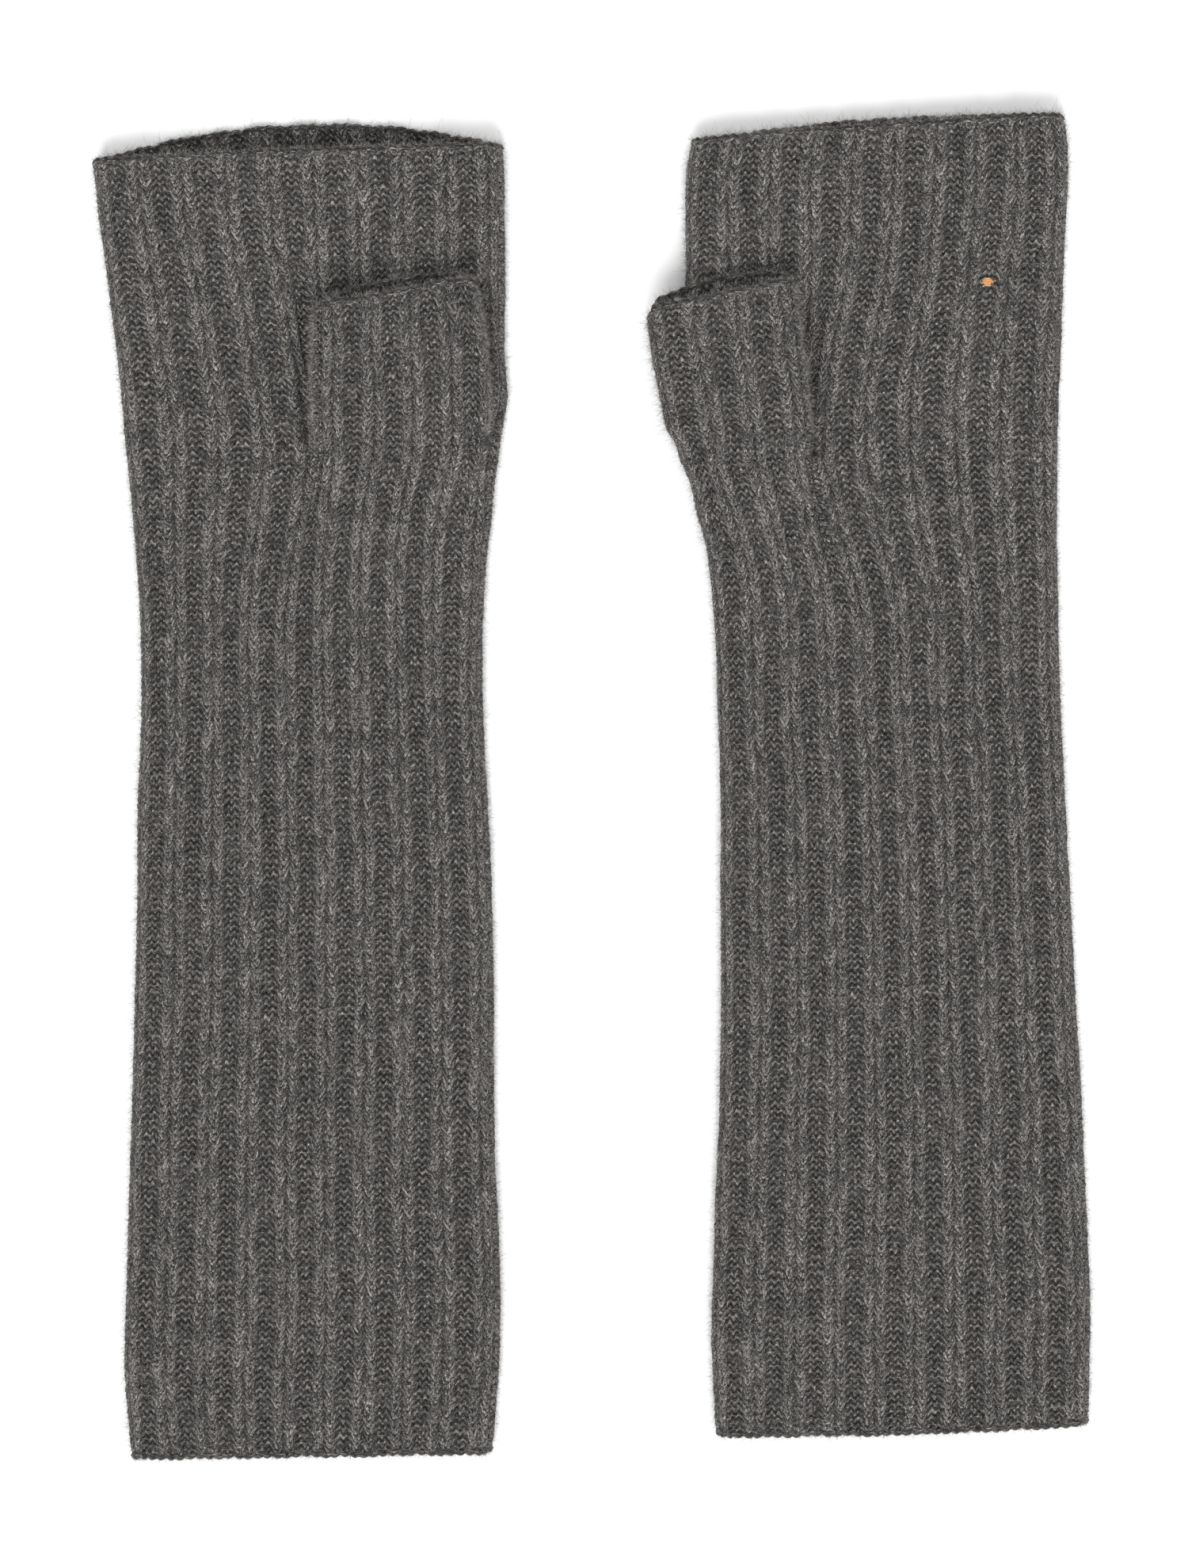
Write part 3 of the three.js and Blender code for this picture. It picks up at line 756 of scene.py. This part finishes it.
def build_fuzz(name, points, normals, count, rng, materials, at_folds=FUZZ_AT_FOLDS):
    """Short stray fibres that stand and lie on the knit, each a closed three-sided hair."""
    flat_points, flat_normals = points.reshape(-1, 3), normals.reshape(-1, 3)
    rows, columns = points.shape[:2]
    at_fold = rng.random(count) < at_folds
    near_fold = np.round(rng.choice([0, 0.5], count) * columns + rng.normal(0, 0.018, count) * columns)
    column = np.where(at_fold, near_fold.astype(int) % columns, rng.integers(0, columns, count))
    chosen = rng.integers(0, rows, count) * columns + column
    root, normal = flat_points[chosen], flat_normals[chosen]
    random = rng.normal(size=(count, 3))
    tangent = random - (random * normal).sum(axis=1, keepdims=True) * normal
    tangent /= np.linalg.norm(tangent, axis=1, keepdims=True)
    lean = rng.uniform(0.3, 1.1, count)[:, None]
    heading = normal * lean + tangent * (1 - 0.5 * lean)
    bend = np.cross(heading, normal) * rng.normal(0, 0.6, count)[:, None] - normal * 0.3
    length = (rng.gamma(2.2, 0.55, count) * MM + 0.5 * MM)[:, None]
    radius = rng.uniform(0.018, 0.036, count) * MM
    first_side = np.cross(heading, normal + 0.01)
    first_side /= np.maximum(np.linalg.norm(first_side, axis=1, keepdims=True), 1e-9)
    second_side = np.cross(heading, first_side)
    second_side /= np.linalg.norm(second_side, axis=1, keepdims=True)
    rings = []
    for t, width in ((0.0, 1.0), (0.45, 0.9), (1.0, 0.4)):
        spine = root - 0.2 * MM * normal + heading * length * t + bend * length * t * t * 0.45
        for corner in range(3):
            angle = corner * 2 * math.pi / 3
            offset = first_side * math.cos(angle) + second_side * math.sin(angle)
            rings.append(spine + offset * (radius * width)[:, None])
    vertices = np.stack(rings, axis=1)
    vertices[:, :, 2] = np.maximum(vertices[:, :, 2], 0.02 * MM)
    start = (np.arange(count) * 9)[:, None]
    quads = [[r * 3 + c, r * 3 + (c + 1) % 3, r * 3 + 3 + (c + 1) % 3, r * 3 + 3 + c] for r in (0, 1) for c in range(3)]
    quads = (start[:, :, None] + np.array(quads)[None]).reshape(-1, 4)
    ends = (start[:, :, None] + np.array([[2, 1, 0], [6, 7, 8]])[None]).reshape(-1, 3)
    return new_mesh_object(name, vertices.reshape(-1, 3), [quads, ends], materials)


# ---- The tack ----------------------------------------------------------------------------

def build_tack(node, surface, materials):
    """A plain bar tack: a few parallel stitches of contrast thread that dip into the rib at both ends."""
    low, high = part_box(node)
    stitches, steps, sides = 6, 14, 8
    radius = (high.y - low.y) / stitches * 0.56
    skin = Skin()
    t = np.linspace(0, 1, steps)
    angle = np.arange(sides) / sides * 2 * math.pi
    level = surface_height(surface, (low.x + high.x) / 2, (low.y + high.y) / 2)
    for i in range(stitches):
        y = low.y + (i + 0.5) / stitches * (high.y - low.y)
        stray = 0.12 * MM * math.sin(2.4 * i + 0.6)
        half_length = (high.x - low.x) / 2 * (1 - 0.55 * ((2 * i + 1) / stitches - 1) ** 2)
        x = (low.x + high.x) / 2 + stray + (2 * t - 1) * half_length
        arch = np.sin(math.pi * t) ** 0.55
        z = level - 0.75 * MM + 0.85 * MM * arch + radius * 0.2 * math.cos(3 * i)
        thickness = radius * (0.75 + 0.25 * arch)
        path = np.stack([x, np.full(steps, y), z], axis=-1)
        offset = np.stack([np.zeros(sides), np.cos(angle), np.sin(angle)], axis=-1)
        numbers = skin.add_points(path[:, None] + offset[None] * thickness[:, None, None])
        u = np.broadcast_to(np.arange(sides + 1) / sides, (steps, sides + 1))
        v = np.broadcast_to(t[:, None] * 4, (steps, sides + 1))
        share = i / stitches
        skin.add_band(numbers, u, v, (share, share + 0.9 / stitches, 0, 0.9), flip=False)
        for row, flip in ((0, False), (-1, True)):
            ring = numbers[row]
            half = sides // 2
            strip = np.stack([ring[:half], ring[::-1][:half]])
            flat = np.zeros(strip.shape)
            skin.add_band(strip, flat, flat, (share, share + 0.05, 0.92, 0.95), closed=False, flip=flip)
    return skin.build(node + "_stitches", materials)


def surface_height(points, x, y):
    """The highest point of a displaced skin near a place."""
    flat = points.reshape(-1, 3)
    near = (np.abs(flat[:, 0] - x) < 1.5 * MM) & (np.abs(flat[:, 1] - y) < 1.5 * MM) & (flat[:, 2] > 4 * MM)
    return float(np.percentile(flat[near, 2], 80))


# ---- Materials ---------------------------------------------------------------------------

class Nodes:
    """A short way to write a shader's node tree."""

    def __init__(self, name):
        self.material = bpy.data.materials.new(name)
        self.material.use_nodes = True
        self.tree = self.material.node_tree
        self.shader = self.tree.nodes["Principled BSDF"]

    def link(self, value, socket):
        if isinstance(value, bpy.types.NodeSocket):
            self.tree.links.new(value, socket)
        else:
            socket.default_value = value

    def math(self, operation, *values, clamp=False):
        node = self.tree.nodes.new("ShaderNodeMath")
        node.operation = operation
        node.use_clamp = clamp
        for value, socket in zip(values, node.inputs):
            self.link(value, socket)
        return node.outputs[0]

    def vector(self, x, y, z=0.0):
        node = self.tree.nodes.new("ShaderNodeCombineXYZ")
        for value, socket in zip((x, y, z), node.inputs):
            self.link(value, socket)
        return node.outputs[0]

    def split(self, vector):
        node = self.tree.nodes.new("ShaderNodeSeparateXYZ")
        self.link(vector, node.inputs[0])
        return node.outputs[0], node.outputs[1], node.outputs[2]

    def uv(self, layer):
        node = self.tree.nodes.new("ShaderNodeUVMap")
        node.uv_map = layer
        return node.outputs[0]

    def position(self):
        return self.tree.nodes.new("ShaderNodeTexCoord").outputs["Object"]

    def noise(self, vector, scale, detail=2.0, roughness=0.5):
        node = self.tree.nodes.new("ShaderNodeTexNoise")
        node.noise_dimensions = "3D"
        self.link(vector, node.inputs["Vector"])
        node.inputs["Scale"].default_value = scale
        node.inputs["Detail"].default_value = detail
        node.inputs["Roughness"].default_value = roughness
        return node.outputs[0]

    def random(self, vector):
        node = self.tree.nodes.new("ShaderNodeTexWhiteNoise")
        node.noise_dimensions = "3D"
        self.link(vector, node.inputs["Vector"])
        return node.outputs[0]

    def choose(self, share, first, second):
        node = self.tree.nodes.new("ShaderNodeMix")
        node.data_type = "FLOAT"
        self.link(share, node.inputs[0])
        self.link(first, node.inputs[2])
        self.link(second, node.inputs[3])
        return node.outputs[0]

    def ramp(self, value, stops):
        node = self.tree.nodes.new("ShaderNodeValToRGB")
        self.link(value, node.inputs[0])
        elements = node.color_ramp.elements
        while len(elements) < len(stops):
            elements.new(0.5)
        for element, (place, color) in zip(elements, stops):
            element.position = place
            element.color = (*color, 1)
        return node.outputs[0]

    def smooth_range(self, value, low, high, to_low, to_high):
        node = self.tree.nodes.new("ShaderNodeMapRange")
        node.interpolation_type = "SMOOTHSTEP"
        for source, socket in zip((value, low, high, to_low, to_high), node.inputs):
            self.link(source, socket)
        return node.outputs[0]

    def scale_color(self, color, factor):
        node = self.tree.nodes.new("ShaderNodeVectorMath")
        node.operation = "SCALE"
        self.link(color, node.inputs[0])
        self.link(factor, node.inputs["Scale"])
        return node.outputs[0]

    def bump(self, height, distance, strength):
        node = self.tree.nodes.new("ShaderNodeBump")
        self.link(height, node.inputs["Height"])
        node.inputs["Distance"].default_value = distance
        node.inputs["Strength"].default_value = strength
        return node.outputs[0]


def weighted_sum(nodes, terms, offset=0.0):
    """offset plus each value's distance from one half, times its weight."""
    total = offset
    for value, weight in terms:
        centred = nodes.math("SUBTRACT", value, 0.5)
        total = nodes.math("MULTIPLY_ADD", centred, weight, total)
    return total


def leg_height(nodes, from_middle, v):
    """The knit relief again, for the shader's bump and for its painted shade and light."""
    scale = KNIT_WALE * math.cos(LEG_ANGLE) / KNIT_RADIUS
    in_course = nodes.math("FRACT", v)
    highest = -GAP_DEPTH
    for neighbour in (-1, 0, 1):
        t = nodes.math("ADD", in_course, neighbour)
        centre = nodes.math("MULTIPLY_ADD", t, LEG_LEAN, LEG_FOOT)
        across = nodes.math("MULTIPLY", nodes.math("SUBTRACT", from_middle, centre), scale)
        inside = nodes.math("MAXIMUM", nodes.math("MULTIPLY_ADD", nodes.math("MULTIPLY", across, -1.0), across, 1.0), 0.0)
        foot = nodes.math("MAXIMUM", nodes.math("SUBTRACT", 0.08, t), 0.0)
        sink = nodes.math("MULTIPLY_ADD", nodes.math("MULTIPLY", foot, 6.0), foot, nodes.math("MULTIPLY_ADD", t, 0.55, -0.2475))
        crown = nodes.math("SUBTRACT", nodes.math("SQRT", inside), sink)
        shown = nodes.choose(nodes.math("GREATER_THAN", inside, 0.0), -GAP_DEPTH, crown)
        highest = nodes.math("MAXIMUM", highest, shown)
    return highest


def bead_height(nodes, in_wale, v, wave):
    """The purl relief again, for the shader's bump and for its painted shade and light."""
    in_course = nodes.math("SUBTRACT", nodes.math("FRACT", v), nodes.math("ADD", wave, 0.5))
    turn = nodes.math("MULTIPLY", in_wale, 4 * math.pi)
    beads = nodes.math("MULTIPLY_ADD", nodes.math("COSINE", turn), PURL_BEAD, -PURL_SINK)
    highest = -GAP_DEPTH
    for neighbour in (-1, 0, 1):
        across = nodes.math("MULTIPLY", nodes.math("ADD", in_course, neighbour), COURSE / PURL_RADIUS)
        inside = nodes.math("MAXIMUM", nodes.math("MULTIPLY_ADD", nodes.math("MULTIPLY", across, -1.0), across, 1.0), 0.0)
        crown = nodes.math("ADD", nodes.math("SQRT", inside), beads)
        shown = nodes.choose(nodes.math("GREATER_THAN", inside, 0.0), -GAP_DEPTH, crown)
        highest = nodes.math("MAXIMUM", highest, shown)
    return highest


def wool_material(name, lightness=1.0):
    """Heather wool: light and dark fibres that follow each stitch's yarn, with painted shade in the gaps between
    strands and painted light on their crowns.
    """
    nodes = Nodes(name)
    u, v, _ = nodes.split(nodes.uv("stitch"))
    course = COURSE / MM
    in_wale = nodes.math("FRACT", u)
    from_middle = nodes.math("ABSOLUTE", nodes.math("SUBTRACT", in_wale, 0.5))
    is_knit = nodes.math("LESS_THAN", nodes.math("FRACT", nodes.math("DIVIDE", u, RIB)), 0.5)
    lean_sine, lean_cosine = math.sin(LEG_ANGLE), math.cos(LEG_ANGLE)
    leg_x = nodes.math("MULTIPLY", from_middle, KNIT_WALE / MM)
    leg_y = nodes.math("MULTIPLY", v, course)
    knit_along = nodes.math("MULTIPLY_ADD", leg_y, lean_cosine, nodes.math("MULTIPLY", leg_x, lean_sine))
    knit_across = nodes.math("MULTIPLY_ADD", leg_y, -lean_sine, nodes.math("MULTIPLY", leg_x, lean_cosine))
    turn = nodes.math("MULTIPLY", nodes.math("SUBTRACT", in_wale, 0.5), 2 * math.pi)
    wave = nodes.math("MULTIPLY", nodes.math("COSINE", turn), PURL_WAVE)
    purl_along = nodes.math("MULTIPLY", u, PURL_WALE / MM)
    purl_across = nodes.math("MULTIPLY", nodes.math("SUBTRACT", v, wave), course)
    along = nodes.choose(is_knit, purl_along, knit_along)
    across = nodes.choose(is_knit, purl_across, knit_across)
    # Each leg and each purl course is a strand of its own, and has its own fibres.
    leg_place = nodes.math("MULTIPLY_ADD", from_middle, -1 / LEG_LEAN, LEG_FOOT / LEG_LEAN + 0.5)
    leg_row = nodes.math("ADD", v, leg_place)
    strand_row = nodes.math("FLOOR", nodes.choose(is_knit, nodes.math("SUBTRACT", v, wave), leg_row))
    half_wale = nodes.math("FLOOR", nodes.math("ADD", nodes.math("MULTIPLY", u, 2), nodes.choose(is_knit, 0.5, 0.0)))
    lane = nodes.math("MULTIPLY_ADD", strand_row, 5.3, nodes.math("MULTIPLY", nodes.math("MULTIPLY", half_wale, 3.7), is_knit))

    def streaks(thickness, length, detail, seed):
        place = nodes.vector(
            nodes.math("DIVIDE", across, thickness),
            nodes.math("DIVIDE", along, length),
            nodes.math("ADD", lane, seed))
        return nodes.noise(place, 1.0, detail, 0.6)

    broad = streaks(0.36, 1.1, 2.0, 0.0)
    fine = streaks(0.13, 0.5, 2.0, 51.0)
    cell = nodes.random(nodes.vector(half_wale, strand_row, 0.0))
    mottle = nodes.noise(nodes.vector(nodes.math("MULTIPLY", u, 0.35), nodes.math("MULTIPLY", v, 0.3), 4.0), 1.0, 3.0)
    beads, legs = bead_height(nodes, in_wale, v, wave), leg_height(nodes, from_middle, v)
    # Painted shade and light: the stitch relief darkens the colour in the gaps between strands and in the purl valleys,
    # and lightens the strands' crowns.
    painted_bead_shade = nodes.smooth_range(beads, -GAP_DEPTH, 0.95, 0.42, 1.50)
    painted_leg_shade = nodes.smooth_range(legs, -0.08, 0.95, 0.15, 1.26)
    height = nodes.choose(is_knit, nodes.math("MULTIPLY", beads, 0.45), nodes.math("MULTIPLY", legs, 0.62))
    fog = nodes.noise(nodes.vector(nodes.math("MULTIPLY", u, 0.22), nodes.math("MULTIPLY", v, 0.16), 17.0), 1.0, 2.0)
    clearness = nodes.smooth_range(fog, 0.30, 0.60, 0.55, 1.0)
    value = weighted_sum(nodes, [(broad, 1.0), (fine, 3.7), (cell, 0.28), (mottle, 0.15)], 0.415)
    colors = [
        (0.00, (0.009, 0.009, 0.010)),
        (0.30, (0.037, 0.035, 0.035)),
        (0.52, (0.092, 0.087, 0.084)),
        (0.75, (0.205, 0.193, 0.181)),
        (1.00, (0.430, 0.400, 0.370)),
    ]
    stops = [(place, tuple(channel * lightness for channel in color)) for place, color in colors]
    fibre = nodes.ramp(value, stops)
    # depth is this painted shade and light, eased towards a flat 0.86 where the fog hides the stitches.
    depth = nodes.choose(clearness, 0.86, nodes.choose(is_knit, painted_bead_shade, painted_leg_shade))
    nodes.link(nodes.scale_color(fibre, depth), nodes.shader.inputs["Base Color"])
    stitches = nodes.math("MULTIPLY", height, clearness)
    relief = nodes.math("ADD", stitches, weighted_sum(nodes, [(fine, 0.25), (broad, 0.14)], 0.0))
    nodes.link(nodes.bump(relief, MM, 0.9), nodes.shader.inputs["Normal"])
    nodes.shader.inputs["Roughness"].default_value = 0.95
    nodes.shader.inputs["Specular IOR Level"].default_value = 0.15
    nodes.shader.inputs["Sheen Weight"].default_value = 0.08
    nodes.shader.inputs["Sheen Roughness"].default_value = 0.6
    nodes.shader.inputs["Sheen Tint"].default_value = (0.9, 0.88, 0.85, 1)
    return nodes.material


def fuzz_material():
    """Single fibres, some pale and some dark."""
    nodes = Nodes("fuzz_fibre")
    tone = nodes.noise(nodes.position(), 900.0, 2.0)
    color = nodes.ramp(tone, [(0.35, (0.10, 0.096, 0.092)), (0.5, (0.28, 0.265, 0.25)), (0.65, (0.55, 0.52, 0.49))])
    nodes.link(color, nodes.shader.inputs["Base Color"])
    nodes.shader.inputs["Roughness"].default_value = 0.8
    nodes.shader.inputs["Specular IOR Level"].default_value = 0.3
    return nodes.material


def thread_material():
    """Tan sewing thread with the twist of its plies."""
    nodes = Nodes("tan_thread")
    u, v, _ = nodes.split(nodes.uv("stitch"))
    twist = nodes.math("FRACT", nodes.math("ADD", nodes.math("MULTIPLY", v, 2.5), nodes.math("MULTIPLY", u, 2.0)))
    ply = nodes.math("ABSOLUTE", nodes.math("SUBTRACT", twist, 0.5))
    stray = nodes.noise(nodes.position(), 2500.0, 2.0)
    value = weighted_sum(nodes, [(ply, 0.5), (stray, 0.8)], 0.6)
    color = nodes.ramp(value, [(0.1, (0.33, 0.14, 0.05)), (0.55, (0.62, 0.31, 0.12)), (1.0, (0.82, 0.52, 0.27))])
    nodes.link(color, nodes.shader.inputs["Base Color"])
    nodes.link(nodes.bump(ply, 0.08 * MM, 0.7), nodes.shader.inputs["Normal"])
    nodes.shader.inputs["Roughness"].default_value = 0.6
    nodes.shader.inputs["Sheen Weight"].default_value = 0.2
    return nodes.material


def floor_material():
    nodes = Nodes("pale_floor")
    grain = nodes.noise(nodes.position(), 6.0, 2.0)
    color = nodes.ramp(grain, [(0.0, (0.90, 0.90, 0.90)), (1.0, (0.94, 0.94, 0.94))])
    nodes.link(color, nodes.shader.inputs["Base Color"])
    nodes.shader.inputs["Roughness"].default_value = 0.8
    return nodes.material


# ---- Stage -------------------------------------------------------------------------------

PHOTO_HEIGHT = 403.7 * MM  # how much of the floor the picture shows from top to bottom
CAMERA_LENS = 100.0
CAMERA_SENSOR = 36.0


def add_camera():
    data = bpy.data.cameras.new("camera")
    data.lens = CAMERA_LENS
    data.sensor_width = CAMERA_SENSOR
    data.clip_end = 20
    camera = bpy.data.objects.new("camera", data)
    distance = PHOTO_HEIGHT * CAMERA_LENS / CAMERA_SENSOR
    camera.location = (0.0004, -0.0001, distance + 0.009)
    bpy.context.scene.collection.objects.link(camera)
    bpy.context.scene.camera = camera


def add_soft_sun(name, towards_light, softness, strength):
    data = bpy.data.lights.new(name, "SUN")
    data.angle = math.radians(softness)
    data.energy = strength
    light = bpy.data.objects.new(name, data)
    light.rotation_euler = (-Vector(towards_light)).to_track_quat("-Z", "Y").to_euler()
    light.location = towards_light
    bpy.context.scene.collection.objects.link(light)


def add_stage():
    bpy.ops.mesh.primitive_plane_add(size=60, location=(0, 0, 0))
    floor = bpy.context.object
    floor.name = "floor"
    floor.data.materials.append(floor_material())
    world = bpy.data.worlds.new("studio")
    world.use_nodes = True
    world.node_tree.nodes["Background"].inputs[0].default_value = (1, 1, 1, 1)
    world.node_tree.nodes["Background"].inputs[1].default_value = 0.7
    bpy.context.scene.world = world
    add_soft_sun("key", (-0.15, -1.0, 1.25), 28, 2.4)
    add_soft_sun("fill", (0.7, -0.2, 1.7), 70, 0.9)
    bpy.context.scene.view_settings.view_transform = "Standard"


# ---- Assembly ----------------------------------------------------------------------------

def dress(piece, slot, *nodes):
    """Hides the CAD nodes that a finished piece stands for. Its slot is not used."""
    if nodes:
        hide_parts(*nodes)
    return piece


def build_glove(side, seed, wool, shaded_edge_wool, fuzz, thread):
    glove = Glove(side, seed)
    forearm, hand, thumb = (glove.node(body) for body in ("forearm", "hand", "thumb"))

    tube = dress(build_tube(glove, [wool]), "charcoal_rib", glove.node("forearm_tube"), glove.node("hand_tube"))
    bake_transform(tube)
    thumb_tube = dress(build_thumb(glove, [wool]), "charcoal_rib", glove.node("thumb_tube"))
    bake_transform(thumb_tube)

    for name, rim, towards, body, wales in (
        ("cast_on_edge", glove.arm_rim, -1, forearm, WALES),
        ("finger_bind_off", glove.finger_rim, 1, hand, WALES),
        ("thumb_bind_off", glove.thumb_rim, 1, thumb, 2 * glove.thumb_wales),
    ):
        node = glove.node(name)
        chain = build_chain(node + "_chain", rim, towards, glove.rng, [shaded_edge_wool], wales)
        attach(dress(chain, "charcoal_edge", node), body)
        outwards = np.zeros_like(rim)
        outwards[:, 1] = towards
        brim = rim + 0.5 * MM * outwards
        rim_fuzz = build_fuzz(node + "_fuzz", brim[None], outwards[None], 40 * wales, glove.rng, [fuzz], 0)
        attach(dress(rim_fuzz, "charcoal_edge"), body)

    tube_fuzz = build_fuzz(glove.node("tube_fuzz"), glove.tube_skin, glove.tube_normals, 40000, glove.rng, [fuzz])
    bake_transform(dress(tube_fuzz, "charcoal_rib"))
    thumb_fuzz = build_fuzz(glove.node("thumb_fuzz"), glove.thumb_skin, glove.thumb_normals, 6000, glove.rng, [fuzz])
    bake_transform(dress(thumb_fuzz, "charcoal_rib"))

    tack = glove.node("contrast_tack")
    if tack in frame["nodes"]:
        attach(dress(build_tack(tack, glove.tube_skin, [thread]), "tan_thread", tack), hand)


add_camera()
add_stage()
wool_finish = wool_material("heather_wool")
# The edge chains get a darker copy of the wool: painted shade that tones down the light their rims catch.
shaded_edge_finish = wool_material("heather_wool_edge_shaded", 0.9)
fuzz_finish = fuzz_material()
thread_finish = thread_material()
for place, glove_side in enumerate(("left", "right")):
    build_glove(glove_side, RANDOM_SEED + place, wool_finish, shaded_edge_finish, fuzz_finish, thread_finish)
